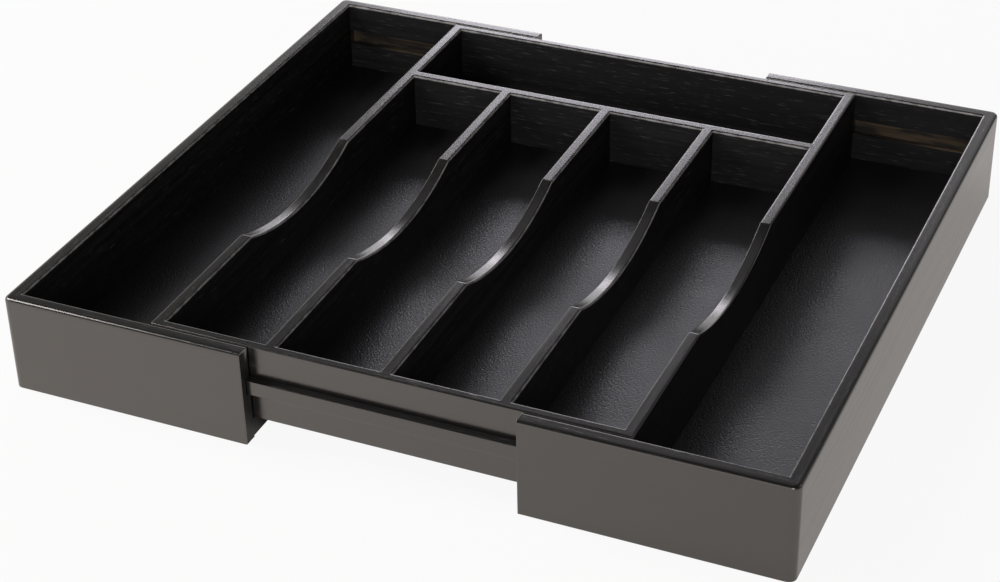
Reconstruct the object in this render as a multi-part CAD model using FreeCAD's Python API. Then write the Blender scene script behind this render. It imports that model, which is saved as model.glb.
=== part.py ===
import FreeCAD, Part
import os

# Expandable cutlery tray: a fixed core with four pockets and a back bay, between two wings that
# slide out to the sides. Millimetres, X along the slide, +Y to the back, +Z up. The origin is on
# the surface that the tray stands on, under its middle. The wings are drawn pulled out.

Vector = FreeCAD.Vector

# Pockets of the core
pocket_count = 4
pocket_width = 66.0
pocket_length = 338.0
pocket_depth = 38.3
back_bay_depth = 72.5

# Thickness of the boards and panels
divider_thickness = 7.5
rail_thickness = 6.0
wing_board = 9.0
floor_thickness = 5.0

# Heights: a wing floor above the table, the core above a wing floor, the core floor in its frame
foot_lip = 8.2
floor_gap = 0.6
core_lip = 6.4

# Glued joints: ends let into housings, floors let into grooves, and the room left for glue
housing_depth = 2.0
floor_groove_depth = 3.0
glue_gap = 0.1

# Runner on the core, from the core's lower edge, and the groove that it slides in
runner_rise = 18.7
runner_height = 10.0
runner_seat = 2.5
runner_groove_depth = 5.0
runner_face_gap = 1.0
runner_side_gap = 0.5

# Sliding fit of the wings, and how far each one is pulled out
slide_gap = 1.0
closing_gap = 2.5
meeting_gap = 2.0
extension = 85.0

# Finger scoop in the top edge of every lengthwise core board
scoop_length = 133.0
scoop_depth = 13.0
scoop_ease = 3.0

# Strip under the free edge of a wing floor
end_strip_width = 12.0
end_strip_clear = 1.0

# Rounded edges
corner_round = 5.0
wing_round = 2.2
edge_round = 1.2
runner_round = 0.8
end_round = 0.6

# Extra length of a cutting shape past the face that it cuts, and how near counts as the same place
overcut = 5.0
tolerance = 1e-6


def grow(span, amount):
    """Widens a span at both ends."""
    return span[0] - amount, span[1] + amount


# Plan of the core, and how far its boards reach into their housings
core_x = (pocket_count * pocket_width + (pocket_count + 1) * divider_thickness) / 2
core_y = (2 * rail_thickness + pocket_length + divider_thickness + back_bay_depth) / 2
inner_x = core_x - divider_thickness
inner_y = core_y - rail_thickness
pocket_y = (-inner_y, -inner_y + pocket_length)
cross_y = (pocket_y[1], pocket_y[1] + divider_thickness)
bay_x = (-inner_x, inner_x)
bay_y = (cross_y[1], inner_y)
wall_y = grow((-inner_y, inner_y), housing_depth)
divider_y = grow(pocket_y, housing_depth)
cross_x = grow(bay_x, housing_depth)

# Plan of the right wing
panel_y = core_y + slide_gap
tray_y = panel_y + wing_board
wing_end = meeting_gap / 2 + extension
wing_inner_x = core_x + closing_gap + extension
wing_x = wing_inner_x + wing_board

# Levels
wing_floor_z = (foot_lip, foot_lip + floor_thickness)
core_bottom = wing_floor_z[1] + floor_gap
core_floor_z = (core_bottom + core_lip, core_bottom + core_lip + floor_thickness)
rim = core_floor_z[1] + pocket_depth
runner_z = (core_bottom + runner_rise, core_bottom + runner_rise + runner_height)

# Radius of the scoop, and reach of the runner from its seat to its face
scoop_radius = (scoop_length ** 2 / 4 + scoop_depth ** 2) / (2 * scoop_depth)
runner_y = (core_y - runner_seat, panel_y + runner_groove_depth - runner_face_gap)


def block(x_span, y_span, z_span):
    """Box between two limits on each axis."""
    spans = (x_span, y_span, z_span)
    size = [high - low for low, high in spans]
    return Part.makeBox(*size, Vector(*[low for low, high in spans]))


def flip_x(shape):
    """Copy on the other side of the middle, left for right."""
    return shape.mirror(Vector(0, 0, 0), Vector(1, 0, 0))


def flip_y(shape):
    """Copy on the other side of the middle, front for back."""
    return shape.mirror(Vector(0, 0, 0), Vector(0, 1, 0))


def is_upright(edge):
    """True for a straight edge along Z."""
    return edge.BoundBox.XLength < tolerance and edge.BoundBox.YLength < tolerance


def is_on_rim(edge):
    """True for an edge that lies whole at the height of the rim."""
    return abs(edge.BoundBox.ZMin - rim) < tolerance and edge.BoundBox.ZLength < tolerance


def rim_cutter(x_span, y_span):
    """Cove that rounds the top edges of the boards around a rectangular opening."""
    low = rim - edge_round
    x_axes = grow(x_span, edge_round)
    y_axes = grow(y_span, edge_round)
    along_x = x_axes[1] - x_axes[0]
    along_y = y_axes[1] - y_axes[0]
    rounds = []
    for x in x_axes:
        rounds.append(Part.makeCylinder(edge_round, along_y, Vector(x, y_axes[0], low), Vector(0, 1, 0)))
    for y in y_axes:
        rounds.append(Part.makeCylinder(edge_round, along_x, Vector(x_axes[0], y, low), Vector(1, 0, 0)))
    return block(x_axes, y_axes, (low, rim + overcut)).cut(rounds)


def pocket_spans():
    """X limits of the pockets, from left to right."""
    step = pocket_width + divider_thickness
    return [(-inner_x + i * step, -inner_x + i * step + pocket_width) for i in range(pocket_count)]


def divider_spans():
    """X limits of the lengthwise dividers, each between two pockets."""
    pockets = pocket_spans()
    return [(left[1], right[0]) for left, right in zip(pockets, pockets[1:])]


def divider_housings():
    """Room for the dividers' ends in the boards that they meet."""
    height = (core_floor_z[1], rim + overcut)
    return [block(grow(x_span, glue_gap), divider_y, height) for x_span in divider_spans()]


def core_floor(clearance):
    """Panel under the pockets and the bay, or its groove where a clearance is added."""
    reach = floor_groove_depth - glue_gap + clearance
    return block(grow(bay_x, reach), grow((-inner_y, inner_y), reach), grow(core_floor_z, clearance))


def back_runner():
    """Strip that is glued into the back rail and slides in the wings' grooves."""
    strip = block((-core_x, core_x), runner_y, runner_z)
    face_edges = [edge for edge in strip.Edges if edge.BoundBox.YMin > runner_y[1] - tolerance]
    return strip.makeFillet(runner_round, [edge for edge in face_edges if not is_upright(edge)])


def core_envelope():
    """Outside of the core, with its top and upright edges rounded."""
    body = block((-core_x, core_x), (-core_y, core_y), (core_bottom, rim))
    return body.makeFillet(edge_round, [edge for edge in body.Edges if is_upright(edge) or is_on_rim(edge)])


def round_rims(board):
    """Rounds a core board's straight edges on the rim, along the outside and around each opening."""
    openings = [(x_span, pocket_y) for x_span in pocket_spans()] + [(bay_x, bay_y)]
    return board.common(core_envelope()).cut([rim_cutter(*opening) for opening in openings])


def back_rail():
    """Board across the back of the core, with room for the side walls, floor and runner."""
    board = block((-core_x, core_x), (inner_y, core_y), (core_bottom, rim))
    height = grow((core_bottom, rim), overcut)
    wall_room = block((inner_x - glue_gap, core_x + overcut), wall_y, height)
    runner_room = block((-core_x, core_x), (runner_y[0], core_y), grow(runner_z, glue_gap))
    return board.cut([wall_room, flip_x(wall_room), core_floor(glue_gap), runner_room])


def scooped_stretch(x_span, bottom):
    """Board beside the pockets, with eased scoop corners and one smooth round along each top edge."""
    stretch = block(x_span, pocket_y, (bottom, rim))
    middle = sum(pocket_y) / 2
    start = Vector(x_span[0] - overcut, middle, rim - scoop_depth + scoop_radius)
    width = x_span[1] - x_span[0] + 2 * overcut
    stretch = stretch.cut(Part.makeCylinder(scoop_radius, width, start, Vector(1, 0, 0)))
    across = [edge for edge in stretch.Edges if is_on_rim(edge) and edge.BoundBox.YLength < tolerance]
    corners = [edge for edge in across if abs(edge.BoundBox.YMin - middle) < scoop_length / 2 + tolerance]
    stretch = stretch.makeFillet(scoop_ease, corners)
    sides = [edge for edge in stretch.Edges if edge.BoundBox.XLength < tolerance]
    return stretch.makeFillet(edge_round, [edge for edge in sides if edge.BoundBox.ZMin > bottom + tolerance])


def scooped_board(x_span, y_span, bottom):
    """Whole lengthwise board: the stretch beside the pockets, and its ends past them."""
    end_spans = ((y_span[0], pocket_y[0]), (pocket_y[1], y_span[1]))
    ends = [round_rims(block(x_span, end_span, (bottom, rim))) for end_span in end_spans]
    return scooped_stretch(x_span, bottom).fuse(ends).removeSplitter()


def right_wall():
    """The core's right side board, with room for the floor and the cross divider."""
    cross_room = block(cross_x, grow(cross_y, glue_gap), (core_floor_z[1], rim + overcut))
    return scooped_board((inner_x, core_x), wall_y, core_bottom).cut([core_floor(glue_gap), cross_room])


def core_pieces():
    """The core's boards, floor and runners by name."""
    housings = divider_housings()
    cross_board = block(cross_x, cross_y, (core_floor_z[1], rim))
    pieces = {
        "core_front_rail": round_rims(flip_y(back_rail()).cut(housings)),
        "core_back_rail": round_rims(back_rail()),
        "core_left_wall": flip_x(right_wall()),
        "core_right_wall": right_wall(),
        "cross_divider": round_rims(cross_board.cut(housings)),
        "core_floor": core_floor(0),
        "front_runner": flip_y(back_runner()),
        "back_runner": back_runner(),
    }
    for number, x_span in enumerate(divider_spans(), 1):
        pieces[f"divider_{number}"] = scooped_board(x_span, divider_y, core_floor_z[1])
    return pieces


def wing_frame():
    """The right wing's three upright boards in one piece, open towards the core."""
    past_end = wing_end - overcut
    inside_y = (-panel_y, panel_y)
    height = grow((0, rim), overcut)
    frame = block((past_end, wing_x), (-tray_y, tray_y), (0, rim))
    corners = [edge for edge in frame.Edges if is_upright(edge) and edge.BoundBox.XMin > wing_end]
    frame = frame.makeFillet(corner_round, corners)
    outside = [edge for edge in frame.Edges if is_on_rim(edge) and edge.BoundBox.XMax > wing_end]
    frame = frame.makeFillet(wing_round, outside)
    inside = block((past_end, wing_inner_x), inside_y, height)
    waste = block((past_end, wing_end), grow((-tray_y, tray_y), overcut), height)
    frame = frame.cut([inside, rim_cutter((past_end, wing_inner_x), inside_y), waste])
    end_edges = [edge for edge in frame.Edges if edge.BoundBox.XMax < wing_end + tolerance]
    return frame.makeFillet(end_round, [edge for edge in end_edges if edge.BoundBox.ZMax > tolerance])


def mitre_region(points):
    """Upright prism over a plan outline, higher and lower than the tray."""
    corners = [Vector(x, y, -overcut) for x, y in points]
    face = Part.Face(Part.makePolygon(corners + corners[:1]))
    return face.extrude(Vector(0, 0, rim + 2 * overcut))


def wing_floor(open_end, clearance):
    """Panel of the right wing from a free end in X, or its groove where a clearance is added."""
    reach = floor_groove_depth - glue_gap + clearance
    x_span = (open_end, wing_inner_x + reach)
    return block(x_span, grow((-panel_y, panel_y), reach), grow(wing_floor_z, clearance))


def wing_pieces():
    """The right wing's boards, floor and end strip by the last words of their names."""
    past_end = wing_end - overcut
    groove_y = (panel_y - overcut, panel_y + runner_groove_depth)
    groove = block((past_end, wing_inner_x), groove_y, grow(runner_z, runner_side_gap))
    strip_x = (wing_end, wing_end + end_strip_width)

    outer = (wing_x + overcut, tray_y + overcut)
    inner = (wing_inner_x, panel_y)
    panel_plan = [(past_end, inner[1]), inner, outer, (past_end, outer[1])]
    wall_plan = [inner, outer, (outer[0], -outer[1]), (inner[0], -inner[1])]
    frame = wing_frame().cut(wing_floor(past_end, glue_gap))
    back_panel = frame.common(mitre_region(panel_plan)).cut(groove)
    return {
        "side_wall": frame.common(mitre_region(wall_plan)),
        "front_panel": flip_y(back_panel),
        "back_panel": back_panel,
        "floor": wing_floor(wing_end, 0),
        "end_strip": block(strip_x, (-panel_y, panel_y), (end_strip_clear, foot_lip)),
    }


def main():
    """Builds every piece and writes it as a STEP file named after its node."""
    pieces = core_pieces()
    for name, shape in wing_pieces().items():
        pieces["left_wing_" + name] = flip_x(shape)
        pieces["right_wing_" + name] = shape
    os.makedirs("parts", exist_ok=True)
    for name, shape in pieces.items():
        shape.exportStep(f"parts/{name}.step")
        print(f"{name}: {len(shape.Solids)} solid, {shape.Volume:.0f} mm3, valid {shape.isValid()}")
    print(f"Overall {2 * wing_x:.1f} x {2 * tray_y:.1f} x {rim:.1f} mm, scoop radius {scoop_radius:.1f} mm")


main()
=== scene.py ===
"""Finished look of an expandable cutlery tray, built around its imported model.

The core and the two wings are sets of upright boards with rounded rims. Each board is a numpy surface: a
section carried between two plan edges, under one height function that all the boards of a set share, so that
their tops meet flush. The wings' floors are plain panels of their packed sizes. The core's floor and the
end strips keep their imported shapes. All lengths are in metres.
"""

import logging
import math
from dataclasses import dataclass, field, replace
from enum import Enum
from typing import Any, ClassVar, Sequence

import bmesh
import bpy
import numpy as np
from mathutils import Matrix, Vector


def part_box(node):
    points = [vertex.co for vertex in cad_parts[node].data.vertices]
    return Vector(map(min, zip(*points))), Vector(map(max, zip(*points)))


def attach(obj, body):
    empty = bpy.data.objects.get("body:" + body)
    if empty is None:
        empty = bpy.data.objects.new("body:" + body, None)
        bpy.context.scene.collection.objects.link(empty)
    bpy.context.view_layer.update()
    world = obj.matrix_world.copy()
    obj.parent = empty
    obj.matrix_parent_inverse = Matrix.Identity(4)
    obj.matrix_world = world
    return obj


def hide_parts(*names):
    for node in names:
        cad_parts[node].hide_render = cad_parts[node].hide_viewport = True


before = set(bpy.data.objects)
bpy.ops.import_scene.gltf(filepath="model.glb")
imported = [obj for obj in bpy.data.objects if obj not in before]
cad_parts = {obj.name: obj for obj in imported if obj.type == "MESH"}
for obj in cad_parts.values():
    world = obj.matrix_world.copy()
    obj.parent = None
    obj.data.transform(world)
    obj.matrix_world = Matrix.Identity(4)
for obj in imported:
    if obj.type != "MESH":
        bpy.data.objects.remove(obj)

log = logging.getLogger("cutlery_tray")
MM = 0.001
WELD_DISTANCE = 0.001 * MM
SHARP_ANGLE = math.radians(32)

Array = np.ndarray
Pair = tuple[float, float]
Triple = tuple[float, float, float]
Socket = bpy.types.NodeSocket
Material = bpy.types.Material


class Axis(Enum):
    """Direction of the grain in a board."""

    X = 0
    Y = 1


class Side(Enum):
    """Side of the tray that a wing slides out to, as the sign of X."""

    LEFT = -1
    RIGHT = 1


class End(Enum):
    """End of the tray that a board closes, as the sign of Y."""

    FRONT = -1
    BACK = 1


class Edge(Enum):
    """One of the two plan edges that a board's section runs between, as a share of its thickness."""

    FIRST = 0.0
    SECOND = 1.0


class Coat(Enum):
    """Finish of a board's face, as the number of its material."""

    OUTSIDE = 0
    INSIDE = 1
    GROOVE = 2


# Plan and height functions


def quarter_steps(radius: float, count: int = 6) -> Array:
    """Distances from an edge that sample a quarter round evenly: r (1 - cos a) for even angles a.

    Args:
        radius: Radius of the round.
        count: Number of samples, both ends included.

    Returns:
        Rising distances from 0 to the radius.
    """
    return radius * (1.0 - np.cos(np.linspace(0.0, math.pi / 2, count)))


def quarter_drop(inset: Array, radius: float) -> Array:
    """Depth of a quarter round below the flat: r - sqrt(r^2 - (r - d)^2) at a distance d inside the edge.

    Args:
        inset: Distances inside the edge, clipped to the round.
        radius: Radius of the round.

    Returns:
        Depths from the radius, at the edge, to 0.
    """
    lack = radius - np.clip(inset, 0.0, radius)
    return radius - np.sqrt(radius**2 - lack**2)


@dataclass(frozen=True)
class Opening:
    """Rectangular opening beside boards, seen from above, and the round of the edges along it."""

    low: Pair
    high: Pair
    round_over: float

    def distance(self, plan: Array) -> Array:
        """Plan distance to the opening: the length of a point's overshoot past its sides.

        Args:
            plan: Points in plan, in the last axis.

        Returns:
            One distance for each point, 0 inside the opening.
        """
        over = np.maximum(np.array(self.low) - plan, plan - np.array(self.high))
        return np.linalg.norm(np.maximum(over, 0.0), axis=-1)


@dataclass(frozen=True)
class Outline:
    """Outside of a set of boards in plan, a rectangle with round corners, and the round of its edges."""

    low: Pair
    high: Pair
    corner: float
    round_over: float

    def distance(self, plan: Array) -> Array:
        """Distance inside the rounded rectangle.

        With q the overshoot past the corner centre lines, it is R - |max(q, 0)| - min(max(q), 0).

        Args:
            plan: Points in plan, in the last axis.

        Returns:
            One distance for each point, 0 on the outline.
        """
        low, high = np.array(self.low), np.array(self.high)
        over = np.abs(plan - (low + high) / 2) - (high - low) / 2 + self.corner
        past_centre = np.linalg.norm(np.maximum(over, 0.0), axis=-1)
        return self.corner - past_centre - np.minimum(over.max(axis=-1), 0.0)


@dataclass(frozen=True)
class Rim:
    """Top of a set of boards: one height over the plan, rounded along the outside and around each opening."""

    level: float
    outline: Outline
    openings: tuple[Opening, ...]

    def height(self, plan: Array) -> Array:
        """Height of the top: the level less the deepest of the edges' quarter rounds."""
        cuts = [quarter_drop(edge.distance(plan), edge.round_over) for edge in (self.outline, *self.openings)]
        return self.level - np.max(cuts, axis=0)

    def wear(self, plan: Array) -> Array:
        """Nearness to an opening's edge, falling evenly from 1 on it to 0 where its round ends: the mask of
        thinned stain and a painted highlight.
        """
        nearness = [1.0 - gap.distance(plan) / gap.round_over for gap in self.openings]
        return np.clip(np.max(nearness, axis=0), 0.0, 1.0)


@dataclass(frozen=True)
class Scoop:
    """Finger scoop in a board's top edge: an arc with an eased corner at each end."""

    middle: float
    length: float = 133 * MM
    depth: float = 13 * MM
    ease: float = 3 * MM
    arc_steps: int = 34
    ease_steps: int = 6

    @property
    def radius(self) -> float:
        """Radius of the arc over its chord: (c^2 / 4 + h^2) / 2h."""
        return (self.length**2 / 4 + self.depth**2) / (2 * self.depth)

    @property
    def reach(self) -> float:
        """Distance from the middle to where the ease leaves the straight edge.

        The ease touches the edge from below and the arc from outside, so its centre lies R + e from the arc's
        centre and R - h + e below it.
        """
        across = self.radius + self.ease
        return math.sqrt(across**2 - (across - self.depth) ** 2)

    @property
    def join(self) -> float:
        """Distance from the middle to where the arc meets the ease, on the line through their centres."""
        return self.reach * self.radius / (self.radius + self.ease)

    def dip(self, along: Array) -> Array:
        """Depth below the straight edge: h - R + sqrt(R^2 - s^2) on the arc, and the ease's round past it.

        Args:
            along: Places along the board.

        Returns:
            One depth for each place.
        """
        away = np.abs(along - self.middle)
        arc = self.depth - self.radius + np.sqrt(self.radius**2 - np.minimum(away, self.join) ** 2)
        eased = self.ease - np.sqrt(self.ease**2 - np.clip(self.reach - away, 0.0, self.ease) ** 2)
        return np.where(away < self.join, arc, eased)

    def stations(self) -> Array:
        """Places along the board for its sections.

        Returns:
            Rising places that follow the arc evenly, and its eased ends closely.
        """
        arc = np.linspace(0.0, self.join, self.arc_steps)
        half = np.append(arc, np.linspace(self.join, self.reach, self.ease_steps)[1:])
        return self.middle + np.concatenate([-half[:0:-1], half])


# Meshes


def make_piece(
    name: str,
    points: Array,
    faces: list[list[int]],
    wear: Array,
    kinds: Array,
    finishes: Sequence[Material],
) -> bpy.types.Object:
    """Turns arrays into a closed object at the origin, with its places in its mesh.

    Args:
        name: Name of the piece.
        points: Places of the vertices.
        faces: Vertex numbers of each face.
        wear: Nearness of each vertex to a rounded edge.
        kinds: Number of each face's finish.
        finishes: The finishes, in the order of their numbers.

    Returns:
        The new object, welded, smooth and facing outwards.
    """
    mesh = bpy.data.meshes.new(name)
    mesh.from_pydata(points.tolist(), [], faces)
    mesh.attributes.new("edge", "FLOAT", "POINT").data.foreach_set("value", wear.astype(np.float32))
    mesh.polygons.foreach_set("material_index", kinds.astype(np.int32))
    shell = bmesh.new()
    shell.from_mesh(mesh)
    bmesh.ops.remove_doubles(shell, verts=shell.verts, dist=WELD_DISTANCE)
    bmesh.ops.recalc_face_normals(shell, faces=shell.faces)
    shell.to_mesh(mesh)
    shell.free()
    mesh.shade_smooth()
    mesh.set_sharp_from_angle(angle=SHARP_ANGLE)
    for finish in finishes:
        mesh.materials.append(finish)
    piece = bpy.data.objects.new(name, mesh)
    bpy.context.scene.collection.objects.link(piece)
    piece.modifiers.new("flat faces", "WEIGHTED_NORMAL").keep_sharp = True
    return piece


def tube_faces(stations: int, around: int) -> list[list[int]]:
    """Quads of a section carried through stations, closed around the section and capped at both ends.

    Args:
        stations: Number of sections.
        around: Number of points in each section.

    Returns:
        The quads, station by station, and then the two caps.
    """
    first = np.arange(stations - 1)[:, None] * around
    here = np.arange(around)[None, :]
    after = (here + 1) % around
    quads = np.stack([first + here, first + after, first + around + after, first + around + here], axis=-1)
    last = (stations - 1) * around
    return quads.reshape(-1, 4).tolist() + [list(range(around))[::-1], list(range(last, last + around))]


@dataclass(frozen=True)
class Groove:
    """Groove along one face of a board, between two heights."""

    face: Edge
    low: float
    high: float
    depth: float


@dataclass
class Board:
    """Upright board: a section carried between two plan edges, under a shared rim.

    The top's flat starts flat_start radii from an edge. A station's share in grooved deepens its grooves. The
    lists hold the section's lines.
    """

    name: str
    first: Array
    second: Array
    bottom: float
    thickness: float
    rim: Rim
    rounds: Pair
    scoop: Scoop | None = None
    grooves: tuple[Groove, ...] = ()
    grooved: Array | None = None
    mirror: Pair = (1.0, 1.0)
    inside: tuple[Edge, ...] = (Edge.FIRST,)
    shoulder: float = 1.0 * MM
    flat_start: float = 1.6
    shares: list[Array] = field(default_factory=list)
    levels: list[Array] = field(default_factory=list)
    wear_highlights: list[Array] = field(default_factory=list)
    kinds: list[int] = field(default_factory=list)

    def plan(self, share: float) -> Array:
        """Plan points of the stations, a share of the way from the first edge to the second."""
        return self.first + share * (self.second - self.first)

    def column(self, share: Any, level: Any, wear: Any = 0.0, kind: int = Coat.OUTSIDE.value) -> None:
        """Adds one line of the section along the whole board.

        Args:
            share: Place between the two edges, one value or one for each station.
            level: Height, likewise.
            wear: Nearness to a rounded edge, likewise.
            kind: Number of the finish on the face that follows this line.
        """
        count = len(self.first)
        self.shares.append(np.broadcast_to(share, count))
        self.levels.append(np.broadcast_to(level, count))
        self.wear_highlights.append(np.broadcast_to(wear, count))
        self.kinds.append(kind)

    def groove_columns(self, face: Edge, upwards: bool) -> None:
        """Adds the four lines of each groove in one face, whose faces take the groove's finish.

        Args:
            face: Face of the board.
            upwards: True where the section climbs this face.
        """
        for groove in self.grooves:
            if groove.face is face:
                inwards = groove.depth / self.thickness * (1.0 if face is Edge.FIRST else -1.0)
                bottom = face.value + inwards * (1.0 if self.grooved is None else self.grooved)
                start, stop = (groove.low, groove.high) if upwards else (groove.high, groove.low)
                for share, level in ((face.value, start), (bottom, start), (bottom, stop)):
                    self.column(share, level, kind=Coat.GROOVE.value)
                self.column(face.value, stop, kind=self.coat(face))

    def coat(self, face: Edge) -> int:
        """Number of a face's finish."""
        return (Coat.INSIDE if face in self.inside else Coat.OUTSIDE).value

    def crown(self) -> Array:
        """Shares across the top, close together over the rounds at both edges."""
        first, second = (np.append(quarter_steps(radius), self.flat_start * radius) for radius in self.rounds)
        return np.concatenate([first, self.thickness - second[::-1]]) / self.thickness

    def top(self, share: float) -> Array:
        """Height of the board's top along a line: the rim's height less the scoop's dip."""
        plan = self.plan(share)
        return self.rim.height(plan) - (0.0 if self.scoop is None else self.scoop.dip(plan[:, 1]))

    def build(self, finishes: Sequence[Material]) -> bpy.types.Object:
        """Carries the section along the board: up the first face, over the top and down the second.

        Args:
            finishes: Finishes in the order of Coat.

        Returns:
            The board as an object.
        """
        first, second = self.coat(Edge.FIRST), self.coat(Edge.SECOND)
        self.column(0.0, self.bottom, kind=first)
        self.groove_columns(Edge.FIRST, upwards=True)
        self.column(0.0, self.top(0.0) - self.shoulder, kind=first)
        for share in self.crown():
            kind = second if share == Edge.SECOND.value else Coat.OUTSIDE.value
            self.column(share, self.top(share), self.rim.wear(self.plan(share)), kind)
        self.column(1.0, self.top(1.0) - self.shoulder, kind=second)
        self.groove_columns(Edge.SECOND, upwards=False)
        self.column(1.0, self.bottom)

        shares = np.stack(self.shares, axis=1)
        plan = self.first[:, None] + shares[..., None] * (self.second - self.first)[:, None]
        levels = np.stack(self.levels, axis=1)[..., None]
        points = np.concatenate([plan * np.array(self.mirror), levels], axis=-1).reshape(-1, 3)
        stations, around = shares.shape
        kinds = np.append(np.tile(self.kinds, stations - 1), [Coat.INSIDE.value] * 2)
        wear = np.stack(self.wear_highlights, axis=1).ravel()
        return make_piece(self.name, points, tube_faces(stations, around), wear, kinds, finishes)


# Finishes


class Graph:
    """Short way to add nodes to a tree and join them. The mix numbers are a colour mix's sockets."""

    mix_inputs: ClassVar[tuple[int, ...]] = (0, 6, 7)
    mix_output: ClassVar[int] = 2

    def __init__(self, tree: bpy.types.NodeTree) -> None:
        """Keeps the tree, emptied of its first nodes."""
        self.tree = tree
        tree.nodes.clear()

    def add(self, kind: str, inputs: dict[str | int, Any] | None = None, **settings: Any) -> bpy.types.Node:
        """Adds a node.

        Args:
            kind: Type of the node.
            inputs: Values of its sockets, or the outputs that feed them.
            settings: Values of its own settings.

        Returns:
            The new node.
        """
        node = self.tree.nodes.new(kind)
        for name, value in settings.items():
            setattr(node, name, value)
        for name, value in (inputs or {}).items():
            if isinstance(value, Socket):
                self.tree.links.new(value, node.inputs[name])
            else:
                node.inputs[name].default_value = value
        return node

    def stretched(self, vector: Socket, scale: Triple) -> Socket:
        """Coordinates multiplied by a scale on each axis."""
        return self.add("ShaderNodeVectorMath", {0: vector, 1: scale}, operation="MULTIPLY").outputs[0]

    def noise(self, vector: Socket, detail: float, rough: float) -> Socket:
        """Noise of about one wave to a unit of the coordinates, from 0 to 1."""
        values = {"Vector": vector, "Scale": 1.0, "Detail": detail, "Roughness": rough}
        return self.add("ShaderNodeTexNoise", values).outputs["Fac"]

    def between(self, value: Socket, start: Pair, stop: Pair = (0.0, 1.0)) -> Socket:
        """Value eased from one range into another and held at its ends."""
        inputs = {0: value, 1: start[0], 2: start[1], 3: stop[0], 4: stop[1]}
        return self.add("ShaderNodeMapRange", inputs, interpolation_type="SMOOTHSTEP").outputs[0]

    def math(self, operation: str, first: Any, second: Any) -> Socket:
        """Result of one operation on two values."""
        return self.add("ShaderNodeMath", {0: first, 1: second}, operation=operation).outputs[0]

    def tint(self, share: Socket, base: Any, other: Any) -> Socket:
        """Colour that goes from the base to the other as the share goes from 0 to 1.

        Args:
            share: Share of the other colour.
            base: Colour, or the output that gives it.
            other: Likewise.

        Returns:
            The mixed colour.
        """
        colours = (part if isinstance(part, Socket) else (*part, 1.0) for part in (base, other))
        inputs = dict(zip(self.mix_inputs, (share, *colours)))
        return self.add("ShaderNodeMix", inputs, data_type="RGBA").outputs[self.mix_output]

    def bump(self, height: Socket, strength: float, distance: float) -> Socket:
        """Normal that follows a height."""
        values = {"Height": height, "Strength": strength, "Distance": distance}
        return self.add("ShaderNodeBump", values).outputs[0]


def start_material(name: str) -> tuple[Material, Graph, Socket]:
    """Starts a material.

    Args:
        name: Name of the material.

    Returns:
        The material, its graph and the Object coordinates in it.
    """
    material = bpy.data.materials.new(name)
    material.use_nodes = True
    graph = Graph(material.node_tree)
    return material, graph, graph.add("ShaderNodeTexCoord").outputs["Object"]


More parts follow.
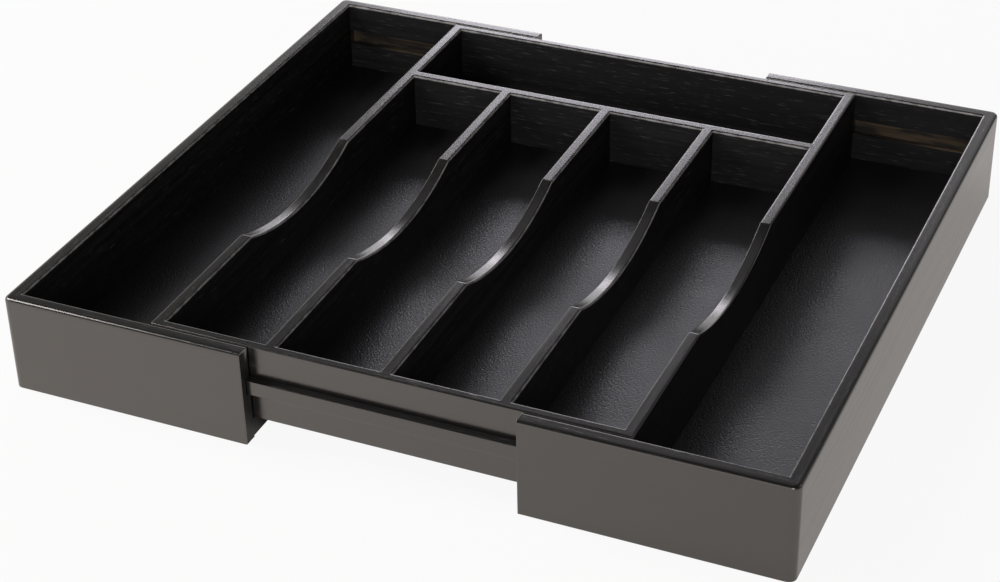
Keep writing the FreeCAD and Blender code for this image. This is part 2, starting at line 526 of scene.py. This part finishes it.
class Effects:
    """Node groups that more than one finish uses. Their scales are in waves, or strips, to a metre."""

    streak_scale: ClassVar[Triple] = (7.0, 420.0, 420.0)
    streak_range: ClassVar[Pair] = (0.28, 0.72)
    pore_scale: ClassVar[Triple] = (80.0, 1300.0, 1300.0)
    pore_range: ClassVar[Pair] = (0.62, 0.74)
    strip_scale: ClassVar[Triple] = (0.9, 120.0, 46.0)
    # The patch settings and the two after them shape the edge mask: thinned stain and a painted highlight.
    patch_scale: ClassVar[Triple] = (130.0, 130.0, 130.0)
    patch_range: ClassVar[Pair] = (0.3, 0.7)
    patch_wear_highlight: ClassVar[Pair] = (0.6, 1.0)
    wear_range: ClassVar[Pair] = (0.35, 0.85)

    def __init__(self) -> None:
        """Builds each group once."""
        self.grain = self.grain_group()
        self.pebble = self.pebble_group()
        self.wear = self.wear_highlight_group()

    @staticmethod
    def start(name: str, inputs: dict[str, str], outputs: Sequence[str]) -> tuple[Graph, Any, Any]:
        """Makes an empty group.

        Args:
            name: Name of the group.
            inputs: Socket type of each named input.
            outputs: Names of the outputs, all of them values.

        Returns:
            The group's graph, its input node and its output node.
        """
        tree = bpy.data.node_groups.new(name, "ShaderNodeTree")
        for socket, kind in inputs.items():
            tree.interface.new_socket(socket, in_out="INPUT", socket_type=kind)
        for socket in outputs:
            tree.interface.new_socket(socket, in_out="OUTPUT", socket_type="NodeSocketFloat")
        graph = Graph(tree)
        return graph, graph.add("NodeGroupInput"), graph.add("NodeGroupOutput")

    def grain_group(self) -> bpy.types.NodeTree:
        """Bamboo with its grain along X: long streaks, short pores, and strips glued side by side.

        Returns:
            The group.
        """
        names = ("Streak", "Pore", "Strip")
        graph, given, made = self.start("bamboo_grain", {"Vector": "NodeSocketVector"}, names)
        vector = given.outputs["Vector"]
        streak = graph.noise(graph.stretched(vector, self.streak_scale), detail=5.0, rough=0.62)
        streak = graph.between(streak, self.streak_range)
        pore = graph.noise(graph.stretched(vector, self.pore_scale), detail=2.0, rough=0.5)
        pore = graph.between(pore, self.pore_range)
        strips = graph.stretched(vector, self.strip_scale)
        cell = graph.add("ShaderNodeVectorMath", {0: strips}, operation="FLOOR").outputs[0]
        strip = graph.add("ShaderNodeTexWhiteNoise", {"Vector": cell}).outputs["Value"]
        for name, socket in zip(names, (streak, pore, strip)):
            graph.tree.links.new(socket, made.inputs[name])
        return graph.tree

    def pebble_group(self) -> bpy.types.NodeTree:
        """Small rounded bumps of uneven size, as in a rolled or sprayed surface.

        Returns:
            The group.
        """
        inputs = {"Vector": "NodeSocketVector", "Pitch": "NodeSocketFloat"}
        graph, given, made = self.start("pebble", inputs, ["Height"])
        vector = given.outputs["Vector"]
        scale = graph.math("DIVIDE", 1.0, given.outputs["Pitch"])
        cells = {"Vector": vector, "Scale": scale, "Smoothness": 0.7}
        bumps = graph.add("ShaderNodeTexVoronoi", cells, feature="SMOOTH_F1").outputs["Distance"]
        swell = graph.add("ShaderNodeTexNoise", {"Vector": vector, "Scale": scale, "Detail": 3.0})
        height = graph.math("SUBTRACT", swell.outputs["Fac"], bumps)
        graph.tree.links.new(height, made.inputs["Height"])
        return graph.tree

    def wear_highlight_group(self) -> bpy.types.NodeTree:
        """Stain thinned along the edges by use, with a painted highlight there, in uneven lengths.

        Returns:
            The group.
        """
        inputs = {"Edge": "NodeSocketFloat", "Vector": "NodeSocketVector"}
        graph, given, made = self.start("edge_wear", inputs, ["Mask"])
        places = graph.stretched(given.outputs["Vector"], self.patch_scale)
        patch = graph.noise(places, detail=4.0, rough=0.6)
        patchy_wear_highlight = graph.between(patch, self.patch_range, self.patch_wear_highlight)
        rubbed_wear_highlight = graph.math("MULTIPLY", given.outputs["Edge"], patchy_wear_highlight)
        graph.tree.links.new(graph.between(rubbed_wear_highlight, self.wear_range), made.inputs["Mask"])
        return graph.tree


@dataclass(frozen=True)
class StainedBamboo:
    """Black stained bamboo under a thin satin lacquer."""

    name: str
    grain: Axis
    colour: Triple = (0.0045, 0.0043, 0.0043)
    streak_colour: Triple = (0.0080, 0.0074, 0.0071)
    # Pores far lighter than the wood: painted glints on the grain's pores.
    pore_glint_colour: Triple = (0.026, 0.025, 0.025)
    # Colour near the pocket rims: thinned stain and a painted highlight.
    wear_highlight_colour: Triple = (0.38, 0.37, 0.365)
    gloss: Pair = (0.20, 0.27)
    index: float = 2.0
    tint: Triple = (1.0, 0.95, 0.90)
    strip_shades: Pair = (0.45, 1.0)
    pore_glint_share: float = 0.8
    gloss_range: Pair = (0.0, 1.6)
    streak_relief: float = 0.5
    peel_pitch: float = 0.8 * MM
    bump: Pair = (0.12, 0.12 * MM)

    def build(self, effects: Effects) -> Material:
        """Makes the material on Object coordinates along the grain: streaks, pores lightened as painted
        glints, and edges lightened as thinned stain and a painted highlight.

        Args:
            effects: The shared node groups.

        Returns:
            The material.
        """
        material, graph, place = start_material(self.name)
        turn = (0.0, 0.0, math.pi / 2 if self.grain is Axis.Y else 0.0)
        along = graph.add("ShaderNodeMapping", {"Vector": place, "Rotation": turn}).outputs[0]
        grain = graph.add("ShaderNodeGroup", {"Vector": along}, node_tree=effects.grain)
        edge = graph.add("ShaderNodeAttribute", attribute_name="edge").outputs["Fac"]
        wear = graph.add("ShaderNodeGroup", {"Edge": edge, "Vector": place}, node_tree=effects.wear)
        skin = {"Vector": place, "Pitch": self.peel_pitch}
        peel = graph.add("ShaderNodeGroup", skin, node_tree=effects.pebble)

        streak, pore, strip = (grain.outputs[name] for name in ("Streak", "Pore", "Strip"))
        shade = graph.math("MULTIPLY", streak, graph.between(strip, (0.0, 1.0), self.strip_shades))
        colour = graph.tint(shade, self.colour, self.streak_colour)
        # Pores lightened: painted glints.
        colour = graph.tint(graph.math("MULTIPLY", pore, self.pore_glint_share), colour, self.pore_glint_colour)
        # Lighter at the pocket rims: thinned stain and a painted highlight.
        colour = graph.tint(wear.outputs["Mask"], colour, self.wear_highlight_colour)
        gloss = graph.between(graph.math("ADD", streak, pore), self.gloss_range, self.gloss)
        relief = graph.math("SUBTRACT", graph.math("MULTIPLY", streak, self.streak_relief), pore)
        relief = graph.math("ADD", relief, peel.outputs["Height"])
        normal = graph.bump(relief, *self.bump)
        inputs = {"Base Color": colour, "Roughness": gloss, "Normal": normal, "IOR": self.index}
        inputs["Specular Tint"] = (*self.tint, 1.0)
        shader = graph.add("ShaderNodeBsdfPrincipled", inputs)
        graph.add("ShaderNodeOutputMaterial", {"Surface": shader.outputs[0]})
        return material


@dataclass(frozen=True)
class RawBamboo:
    """Bare bamboo inside a groove that the stain hardly reached."""

    name: str
    colour: Triple = (0.020, 0.015, 0.011)
    streak_colour: Triple = (0.150, 0.105, 0.060)
    stain_colour: Triple = (0.018, 0.016, 0.015)
    roughness: float = 0.6
    stain_scale: Triple = (28.0, 160.0, 160.0)
    stain_range: Pair = (0.42, 0.62)
    bump: Pair = (0.3, 0.2 * MM)

    def build(self, effects: Effects) -> Material:
        """Makes the material: streaky brown along X, with patches of stain that ran in.

        Args:
            effects: The shared node groups.

        Returns:
            The material.
        """
        material, graph, place = start_material(self.name)
        grain = graph.add("ShaderNodeGroup", {"Vector": place}, node_tree=effects.grain)
        streak = grain.outputs["Streak"]
        patch = graph.noise(graph.stretched(place, self.stain_scale), detail=3.0, rough=0.6)
        colour = graph.tint(streak, self.colour, self.streak_colour)
        colour = graph.tint(graph.between(patch, self.stain_range), colour, self.stain_colour)
        normal = graph.bump(streak, *self.bump)
        inputs = {"Base Color": colour, "Roughness": self.roughness, "Normal": normal}
        shader = graph.add("ShaderNodeBsdfPrincipled", inputs)
        graph.add("ShaderNodeOutputMaterial", {"Surface": shader.outputs[0]})
        return material


@dataclass(frozen=True)
class PebbledPanel:
    """Black floor panel with a fine pebbled coat."""

    name: str
    colour: Triple = (0.0032, 0.0030, 0.0034)
    crest_colour: Triple = (0.0066, 0.0060, 0.0068)
    pitch: float = 1.1 * MM
    gloss: Pair = (0.34, 0.40)
    index: float = 1.95
    crest_range: Pair = (-0.2, 0.4)
    cloud_scale: Triple = (22.0, 22.0, 22.0)
    cloud_range: Pair = (0.3, 0.7)
    bump: Pair = (0.9, 0.17 * MM)

    def build(self, effects: Effects) -> Material:
        """Makes the material: pebbles on Object coordinates, lighter on their crests, with a cloudy gloss.

        Args:
            effects: The shared node groups.

        Returns:
            The material.
        """
        material, graph, place = start_material(self.name)
        coat = {"Vector": place, "Pitch": self.pitch}
        height = graph.add("ShaderNodeGroup", coat, node_tree=effects.pebble).outputs["Height"]
        cloud = graph.noise(graph.stretched(place, self.cloud_scale), detail=3.0, rough=0.55)
        colour = graph.tint(graph.between(height, self.crest_range), self.colour, self.crest_colour)
        gloss = graph.between(cloud, self.cloud_range, self.gloss)
        normal = graph.bump(height, *self.bump)
        inputs = {"Base Color": colour, "Roughness": gloss, "Normal": normal, "IOR": self.index}
        shader = graph.add("ShaderNodeBsdfPrincipled", inputs)
        graph.add("ShaderNodeOutputMaterial", {"Surface": shader.outputs[0]})
        return material


@dataclass(frozen=True)
class Finishes:
    """All the tray's materials. The boards that run across the tray have a lighter inside finish, as painted
    light from the front.

    The inside tones and tints are those of the wood, its streaks and its pores, in that order; the light
    pores are painted glints.
    """

    inside_tones: ClassVar[dict[Axis, Triple]] = {
        # Boards along X are lighter inside, as painted light from the front.
        Axis.X: (0.016, 0.031, 0.115),
        Axis.Y: (0.0055, 0.0220, 0.070),
    }
    inside_tints: ClassVar[tuple[Triple, ...]] = ((1.0, 1.0, 1.08), (1.0, 0.97, 1.0), (1.0, 0.95, 0.92))
    inside_gloss: ClassVar[Pair] = (0.44, 0.56)
    inside_index: ClassVar[float] = 1.25
    along_x: tuple[Material, ...]
    along_y: tuple[Material, ...]
    panel: Material

    @classmethod
    def make(cls) -> "Finishes":
        """Builds the node groups and then each material.

        Returns:
            The finishes.
        """
        effects = Effects()
        bare = RawBamboo("bare_bamboo_groove").build(effects)
        boards = []
        for grain in Axis:
            word = f"along_{grain.name.lower()}"
            lacquered = StainedBamboo(f"stained_bamboo_{word}", grain)
            tones = zip(cls.inside_tones[grain], cls.inside_tints)
            wood, streak, pore = (tuple(tone * share for share in tint) for tone, tint in tones)
            matt = replace(
                lacquered,
                name=f"stained_inside_{word}",
                colour=wood,
                streak_colour=streak,
                pore_glint_colour=pore,
                gloss=cls.inside_gloss,
                index=cls.inside_index,
            )
            boards.append((lacquered.build(effects), matt.build(effects), bare))
        return cls(*boards, PebbledPanel("pebbled_floor").build(effects))


def show(piece: bpy.types.Object, node: str, body: str) -> None:
    """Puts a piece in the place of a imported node, on its body.

    Args:
        piece: The piece.
        node: Node that it stands for.
        body: Body that it moves with.
    """
    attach(piece, body)
    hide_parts(node)
    log.info("%s on %s: %d faces", piece.name, body, len(piece.data.polygons))


def dress(node: str, finish: Material) -> None:
    """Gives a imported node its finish.

    Args:
        node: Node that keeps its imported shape.
        finish: The material.
    """
    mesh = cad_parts[node].data
    mesh.materials.clear()
    mesh.materials.append(finish)
    log.info("%s keeps its packed shape", node)


# Sub-assemblies


@dataclass
class Core:
    """The fixed middle of the tray: rails, walls, dividers and runners around four pockets and a bay."""

    finishes: Finishes
    body: str = "core"
    round_over: float = 1.2 * MM
    runner_round: float = 0.8 * MM
    runner_steps: int = 6
    seat_play: float = 0.1 * MM
    dividers: tuple[str, ...] = ("divider_1", "divider_2", "divider_3")

    def __post_init__(self) -> None:
        """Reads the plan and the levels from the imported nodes."""
        rail_low, rail_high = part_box("core_back_rail")
        wall_low, wall_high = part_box("core_right_wall")
        cross_low, cross_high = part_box("cross_divider")
        floor_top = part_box("core_floor")[1].z
        self.half = (rail_high.x, rail_high.y)
        self.inner = (wall_low.x, rail_low.y)
        self.wall_end = wall_high.y
        self.cross = (cross_low.y, cross_high.y)
        self.levels = (rail_low.z, floor_top, rail_high.z)
        self.divider_spans = [(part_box(name)[0].x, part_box(name)[1].x) for name in self.dividers]
        self.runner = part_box("back_runner")
        self.rim = Rim(self.levels[2], self.outline(), self.openings())
        self.rounds = (self.round_over, self.round_over)
        self.scoop = Scoop((self.cross[0] - self.inner[1]) / 2)

    def outline(self) -> Outline:
        """Outside of the core, with upright edges as round as its rim."""
        return Outline((-self.half[0], -self.half[1]), self.half, self.round_over, self.round_over)

    def openings(self) -> tuple[Opening, ...]:
        """Openings that the core's boards stand around.

        Returns:
            The pockets from left to right, and the bay behind them.
        """
        sides = [-self.inner[0]] + [x for span in self.divider_spans for x in span] + [self.inner[0]]
        spans = zip(sides[::2], sides[1::2])
        pockets = [Opening((a, -self.inner[1]), (b, self.cross[0]), self.round_over) for a, b in spans]
        return (*pockets, Opening((-self.inner[0], self.cross[1]), self.inner, self.round_over))

    def corner_stations(self, axis: Axis) -> Array:
        """Places along one axis for the sections of boards.

        Args:
            axis: The axis.

        Returns:
            Places that follow the rounds just outside each opening's corners, unsorted.
        """
        steps = quarter_steps(self.round_over)
        lows = [gap.low[axis.value] - steps for gap in self.openings()]
        highs = [gap.high[axis.value] + steps for gap in self.openings()]
        return np.concatenate(lows + highs)

    def across(self) -> Array:
        """Rising places along X for sections between the side walls, with both walls' inner faces."""
        walls = (-self.inner[0], self.inner[0])
        return np.unique(np.clip(np.append(self.corner_stations(Axis.X), walls), *walls))

    def rail(self, end: End) -> Board:
        """Board across the front or back, thinner past the side walls' inner faces.

        Its outer edge turns the core's upright corners on quarter rounds, and has a seat for the runner.

        Args:
            end: Which rail.

        Returns:
            The board, still to be built.
        """
        half_x, half_y = self.half
        steps = quarter_steps(self.round_over)
        inner_x, inner_y = self.inner
        stop = inner_x + np.concatenate([[0.0], half_x - inner_x - steps[::-1]])
        middle = self.across()
        along = np.concatenate([-stop[::-1], middle, stop])
        inside = np.repeat([self.wall_end, inner_y, self.wall_end], [len(stop), len(middle), len(stop)])
        outside = half_y - quarter_drop(half_x - np.abs(along), self.round_over)
        first = np.stack([along, end.value * inside], axis=1)
        second = np.stack([along, end.value * outside], axis=1)
        low, high = self.runner
        seat = Groove(Edge.SECOND, low.z - self.seat_play, high.z + self.seat_play, half_y - low.y)
        plan = (f"{end.name.lower()}_rail", first, second, self.levels[0], half_y - inner_y)
        return Board(*plan, self.rim, self.rounds, grooves=(seat,))

    def lengthwise(self, name: str, x_span: Pair, y_span: Pair, bottom: float) -> Board:
        """Scooped board along Y.

        Args:
            name: Name of the board.
            x_span: Its two faces.
            y_span: Its two ends.
            bottom: Height of its lower edge.

        Returns:
            The board, still to be built.
        """
        places = np.concatenate([self.corner_stations(Axis.Y), self.scoop.stations(), y_span])
        along = np.unique(np.clip(places, *y_span))
        first, second = (np.stack([np.full(len(along), x), along], axis=1) for x in x_span)
        plan = (name, first, second, bottom, x_span[1] - x_span[0])
        return Board(*plan, self.rim, self.rounds, self.scoop, inside=tuple(Edge))

    def cross_board(self) -> Board:
        """Board along X between the pockets and the bay.

        Returns:
            The board, still to be built.
        """
        along = self.across()
        first, second = (np.stack([along, np.full(len(along), y)], axis=1) for y in self.cross)
        plan = ("cross_board", first, second, self.levels[1], self.cross[1] - self.cross[0])
        return Board(*plan, self.rim, self.rounds, inside=tuple(Edge))

    def runner_strip(self, end: End) -> bpy.types.Object:
        """Strip on a rail's face: a box section with two quarter rounds, carried along X.

        Args:
            end: Which runner.

        Returns:
            The strip as an object.
        """
        low, high = self.runner
        radius = self.runner_round
        angle = np.linspace(0.0, math.pi / 2, self.runner_steps)
        centre = np.array([high.y - radius, high.z - radius])
        upper = centre + radius * np.stack([np.sin(angle), np.cos(angle)], axis=1)
        lower = np.stack([upper[::-1, 0], low.z + high.z - upper[::-1, 1]], axis=1)
        shoulder = self.half[1]
        backs = np.array([[low.y, low.z], [low.y, high.z], [shoulder, high.z]])
        section = np.concatenate([backs, upper, lower, [[shoulder, low.z]]])
        along = np.array([low.x, high.x])
        points = np.empty((len(along), len(section), 3))
        points[..., 0] = along[:, None]
        points[..., 1:] = section * np.array([end.value, 1.0])
        faces = tube_faces(len(along), len(section))
        kinds = np.full(len(faces), Coat.OUTSIDE.value)
        # The runner's top takes the dark inside finish as painted shade.
        kinds[len(backs) - 1] = Coat.INSIDE.value
        name = f"{end.name.lower()}_runner_strip"
        # No thinned stain or painted highlight along the runner's edges.
        no_wear_highlight = np.zeros(points[..., 0].size)
        return make_piece(name, points.reshape(-1, 3), faces, no_wear_highlight, kinds, self.finishes.along_x[:2])

    def build(self) -> None:
        """Builds the boards and runners and dresses the floor."""
        along_x, along_y = self.finishes.along_x, self.finishes.along_y
        for end in End:
            word = end.name.lower()
            show(self.rail(end).build(along_x), f"core_{word}_rail", self.body)
            show(self.runner_strip(end), f"{word}_runner", self.body)
        wall_y = (-self.wall_end, self.wall_end)
        for side in Side:
            word = side.name.lower()
            x_span = tuple(sorted((side.value * self.inner[0], side.value * self.half[0])))
            board = self.lengthwise(f"{word}_wall", x_span, wall_y, self.levels[0])
            show(board.build(along_y), f"core_{word}_wall", self.body)
        pocket_y = (-self.inner[1], self.cross[0])
        for node, x_span in zip(self.dividers, self.divider_spans):
            board = self.lengthwise(f"{node}_board", x_span, pocket_y, self.levels[1])
            show(board.build(along_y), node, self.body)
        show(self.cross_board().build(along_x), "cross_divider", self.body)
        dress("core_floor", self.finishes.panel)


@dataclass
class Wing:
    """One sliding side of the tray: a wall and two panels with mitred corners, a floor and its end strip."""

    side: Side
    finishes: Finishes
    outer_round: float = 2.2 * MM
    inner_round: float = 1.2 * MM
    end_round: float = 0.6 * MM
    corner_round: float = 5.0 * MM
    groove_play: float = 0.5 * MM
    groove_depth: float = 5.0 * MM
    floor_play: float = 0.05 * MM

    def __post_init__(self) -> None:
        """Reads the plan and the levels from the right wing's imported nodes, which the left wing mirrors."""
        self.body = f"{self.side.name.lower()}_wing"
        panel_low, panel_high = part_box("right_wing_back_panel")
        rail_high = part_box("core_back_rail")[1]
        self.open_end = panel_low.x
        self.inner = (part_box("right_wing_side_wall")[1].x - (panel_high.y - panel_low.y), panel_low.y)
        self.outer = (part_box("right_wing_side_wall")[1].x, panel_high.y)
        self.levels = (panel_low.z, rail_high.z)
        runner_low, runner_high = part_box("back_runner")
        runner_z = (runner_low.z - self.groove_play, runner_high.z + self.groove_play)
        floor_low, floor_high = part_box("right_wing_floor")
        floor_z = (floor_low.z - self.floor_play, floor_high.z + self.floor_play)
        floor_depth = floor_high.y - self.inner[1] + self.floor_play
        self.floor_groove = Groove(Edge.FIRST, *floor_z, floor_depth)
        self.runner_groove = Groove(Edge.FIRST, *runner_z, self.groove_depth)
        outline = Outline((-self.outer[0], -self.outer[1]), self.outer, self.corner_round, self.outer_round)
        inside = Opening((0.0, -self.inner[1]), self.inner, self.inner_round)
        past_end = Opening((0.0, -self.outer[1]), (self.open_end, self.outer[1]), self.end_round)
        self.rim = Rim(self.levels[1], outline, (inside, past_end))
        self.rounds = (self.inner_round, self.outer_round)

    @property
    def thickness(self) -> float:
        """Thickness of the wing's boards."""
        return self.outer[1] - self.inner[1]

    def corner_arc(self, count: int = 7) -> Array:
        """Half of the back corner's round: centre + R (sin a, cos a).

        Args:
            count: Number of points.

        Returns:
            Points in plan, from the panel's face to the mitre.
        """
        angle = np.linspace(0.0, math.pi / 4, count)
        centre = np.array(self.outer) - self.corner_round
        return centre + self.corner_round * np.stack([np.sin(angle), np.cos(angle)], axis=1)

    def panel(self, end: End) -> Board:
        """Front or back panel: straight from its open end to the side wall, then a fan of sections.

        Args:
            end: Which panel.

        Returns:
            The board, still to be built.
        """
        start = self.open_end + np.append(quarter_steps(self.end_round), 2.0 * self.end_round)
        straight = np.append(start, self.inner[0])
        face = self.outer[1] - quarter_drop(straight - self.open_end, self.end_round)
        arc = self.corner_arc()
        second = np.concatenate([np.stack([straight, face], axis=1), [[straight[-1], face[-1]]], arc])
        inner_x = np.concatenate([straight, np.full(1 + len(arc), self.inner[0])])
        first = np.stack([inner_x, np.full(len(inner_x), self.inner[1])], axis=1)
        grooved = np.append(np.ones(len(straight)), np.zeros(1 + len(arc)))
        grooves = (self.floor_groove, self.runner_groove)
        name = f"{self.body}_{end.name.lower()}_board"
        mirror = (float(self.side.value), float(end.value))
        plan = (name, first, second, self.levels[0], self.thickness)
        return Board(*plan, self.rim, self.rounds, grooves=grooves, grooved=grooved, mirror=mirror)

    def side_board(self) -> Board:
        """Side wall: a straight board with a fan of sections to the mitre at each end.

        Returns:
            The board, still to be built.
        """
        arc = self.corner_arc()
        turned = arc[:, ::-1] + np.array([self.outer[0] - self.outer[1], self.outer[1] - self.outer[0]])
        half = np.concatenate([[[self.outer[0], self.inner[1]]], turned])
        second = np.concatenate([half[::-1] * np.array([1.0, -1.0]), half])
        inner_y = np.full(len(half), self.inner[1])
        first = np.stack([np.full(2 * len(half), self.inner[0]), np.concatenate([-inner_y, inner_y])], axis=1)
        mirror = (float(self.side.value), 1.0)
        plan = (f"{self.body}_side_board", first, second, self.levels[0], self.thickness)
        return Board(*plan, self.rim, self.rounds, mirror=mirror)

    def floor_board(self) -> bpy.types.Object:
        """Floor: its section in X and Z carried along Y.

        Returns:
            The floor, closed, pebbled above and below, with the dark inside finish on its cut edges as
            painted shade under the core.
        """
        low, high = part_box(f"{self.body}_floor")
        section = np.array([[low.x, low.z], [high.x, low.z], [high.x, high.z], [low.x, high.z]])
        around = np.tile(section, (2, 1))
        along = np.repeat([low.y, high.y], len(section))
        points = np.column_stack([around[:, 0], along, around[:, 1]])
        # Cut edges take the dark inside finish: painted shade where the floor's end lies under the core.
        pebbled, cut = 0, 1
        kinds = np.array([pebbled, cut, pebbled, cut, cut, cut])
        finishes = (self.finishes.panel, self.finishes.along_y[Coat.INSIDE.value])
        faces = tube_faces(2, len(section))
        return make_piece(f"{self.body}_floor_board", points, faces, np.zeros(len(points)), kinds, finishes)

    def build(self) -> None:
        """Builds the boards and the floor, and dresses the end strip."""
        for end in End:
            board = self.panel(end).build(self.finishes.along_x)
            show(board, f"{self.body}_{end.name.lower()}_panel", self.body)
        show(self.side_board().build(self.finishes.along_y), f"{self.body}_side_wall", self.body)
        show(self.floor_board(), f"{self.body}_floor", self.body)
        dress(f"{self.body}_end_strip", self.finishes.along_y[Coat.INSIDE.value])


# Studio

WARM = (1.0, 0.97, 0.94)
COOL = (0.97, 0.96, 1.08)


@dataclass(frozen=True)
class SoftLight:
    """Rectangular lamp that faces the tray."""

    name: str
    place: Triple
    size: Pair
    power: float
    colour: Triple
    aim: Triple = (0.0, 0.0, 0.03)

    def build(self) -> None:
        """Adds the lamp to the scene, turned to its aim."""
        data = bpy.data.lights.new(self.name, "AREA")
        data.shape = "RECTANGLE"
        data.size, data.size_y = self.size
        data.energy = self.power
        data.color = self.colour
        lamp = bpy.data.objects.new(self.name, data)
        lamp.location = self.place
        lamp.rotation_euler = (Vector(self.aim) - Vector(self.place)).to_track_quat("-Z", "Y").to_euler()
        bpy.context.scene.collection.objects.link(lamp)


@dataclass
class Studio:
    """White table, pale surroundings that darken overhead and to the right, soft lamps and the camera.

    The sky is white below the first part of sky_fade, as the Z of a direction, and dark above the second.
    """

    table_half: float = 4.0
    table_lines: int = 9
    table_drop: float = 0.1 * MM
    table_colour: float = 0.86
    table_lift: float = 0.92
    mirror_lift: Pair = (1.0, 0.54)
    mirror_colour: Triple = (1.0, 0.955, 0.92)
    mirror_reach: Pair = (-0.3, 0.3)
    covered: Pair = (0.150, 0.212)
    cover_fade: float = 0.015
    sky_white: float = 0.9
    sky_rest: float = 0.05
    sky_fade: Pair = (math.sin(math.radians(18.0)), math.sin(math.radians(31.0)))
    sky_turn: Pair = (0.0, 0.4)
    sky_sides: Pair = (1.0, 0.15)
    camera_place: Triple = (0.48901, -1.13643, 0.77945)
    camera_aim: Triple = (-0.01583, -0.01552, 0.0)
    camera_roll: float = math.radians(-1.264)
    camera_lens: float = 81.041
    sensor_width: float = 36.0
    lamps: tuple[SoftLight, ...] = (
        SoftLight("key", (-1.6, -0.2, 1.5), (1.0, 1.0), 28.0, (1.0, 0.98, 0.965)),
        SoftLight("front", (0.6, -2.2, 1.0), (1.0, 1.0), 12.0, WARM),
        SoftLight("fill", (1.3, 0.6, 0.9), (1.0, 1.0), 1.5, WARM),
        SoftLight("back", (-1.87, 5.17, 2.33), (1.50, 0.79), 18.5, COOL),
        SoftLight("back_low", (-2.25, 5.42, 1.22), (1.58, 1.69), 6.0, COOL),
        SoftLight("back_right", (0.3, 5.60, 2.2), (2.5, 3.0), 6.3, COOL),
        SoftLight("back_high", (-1.30, 2.79, 3.94), (1.6, 2.3), 1.8, COOL),
    )

    def table(self) -> None:
        """White table: a flat grid that keeps the tray's shadow and is lifted to white by its finish."""
        count = self.table_lines
        side = np.linspace(-self.table_half, self.table_half, count)
        plan = np.stack(np.meshgrid(side, side, indexing="ij"), axis=-1).reshape(-1, 2)
        points = np.column_stack([plan, np.full(len(plan), -self.table_drop)])
        first = (np.arange(count - 1)[:, None] * count + np.arange(count - 1)).ravel()
        quads = np.stack([first, first + count, first + count + 1, first + 1], axis=1)
        mesh = bpy.data.meshes.new("table")
        mesh.from_pydata(points.tolist(), [], quads.tolist())
        table = bpy.data.objects.new("table", mesh)
        bpy.context.scene.collection.objects.link(table)
        mesh.materials.append(self.table_finish())

    def table_finish(self) -> Material:
        """Matt white that camera, glossy and transmission rays see mixed with white light.

        Mirrored rays see more of it on the left, and none under the core, where the table is always shaded.

        Returns:
            The material.
        """
        material, graph, place = start_material("white_table")
        ray = graph.add("ShaderNodeLightPath").outputs
        mirrored = graph.math("MAXIMUM", ray["Is Glossy Ray"], ray["Is Transmission Ray"])
        seen = graph.math("MULTIPLY", ray["Is Camera Ray"], self.table_lift)
        matt = graph.add("ShaderNodeBsdfDiffuse", {"Color": (*[self.table_colour] * 3, 1.0)})
        shade = graph.tint(ray["Is Camera Ray"], self.mirror_colour, (1.0, 1.0, 1.0))
        white = graph.add("ShaderNodeEmission", {"Color": shade, "Strength": 1.0})
        parts = graph.add("ShaderNodeSeparateXYZ", {0: place}).outputs
        lift = graph.between(parts["X"], self.mirror_reach, self.mirror_lift)
        clear = [
            graph.between(graph.math("ABSOLUTE", parts[axis], 0.0), (edge - self.cover_fade, edge))
            for axis, edge in zip("XY", self.covered)
        ]
        lift = graph.math("MULTIPLY", lift, graph.math("MAXIMUM", *clear))
        share = graph.math("MAXIMUM", seen, graph.math("MULTIPLY", mirrored, lift))
        mixed = graph.add("ShaderNodeMixShader", {0: share, 1: matt.outputs[0], 2: white.outputs[0]})
        graph.add("ShaderNodeOutputMaterial", {"Surface": mixed.outputs[0]})
        return material

    def surroundings(self) -> None:
        """World that is white up to a low height, and dark overhead and to the right."""
        world = bpy.data.worlds.new("studio")
        bpy.context.scene.world = world
        world.use_nodes = True
        graph = Graph(world.node_tree)
        way = graph.add("ShaderNodeTexCoord").outputs["Generated"]
        parts = graph.add("ShaderNodeSeparateXYZ", {0: way}).outputs
        left = graph.between(parts["X"], self.sky_turn, self.sky_sides)
        low = graph.between(parts["Z"], self.sky_fade, (self.sky_white, 0.0))
        white = graph.math("ADD", graph.math("MULTIPLY", low, left), self.sky_rest)
        light = graph.add("ShaderNodeBackground", {"Color": (1.0, 1.0, 1.0, 1.0), "Strength": white})
        graph.add("ShaderNodeOutputWorld", {"Surface": light.outputs[0]})

    def camera(self) -> None:
        """Camera at the photograph's place, turned about its own axis by the roll."""
        data = bpy.data.cameras.new("camera")
        data.lens = self.camera_lens
        data.sensor_width = self.sensor_width
        camera = bpy.data.objects.new("camera", data)
        look = (Vector(self.camera_aim) - Vector(self.camera_place)).to_track_quat("-Z", "Y")
        turn = look.to_matrix().to_4x4() @ Matrix.Rotation(self.camera_roll, 4, "Z")
        camera.matrix_world = Matrix.Translation(self.camera_place) @ turn
        bpy.context.scene.collection.objects.link(camera)
        bpy.context.scene.camera = camera

    def build(self) -> None:
        """Sets up the table, the surroundings, the lamps and the camera."""
        bpy.context.scene.view_settings.view_transform = "Standard"
        self.table()
        self.surroundings()
        for lamp in self.lamps:
            lamp.build()
        self.camera()


def main() -> None:
    """Builds the tray and its studio, piece by piece."""
    logging.basicConfig(level=logging.INFO, format="%(name)s: %(message)s")
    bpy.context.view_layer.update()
    finishes = Finishes.make()
    Core(finishes).build()
    for side in Side:
        Wing(side, finishes).build()
    Studio().build()


if __name__ == "__main__":
    main()
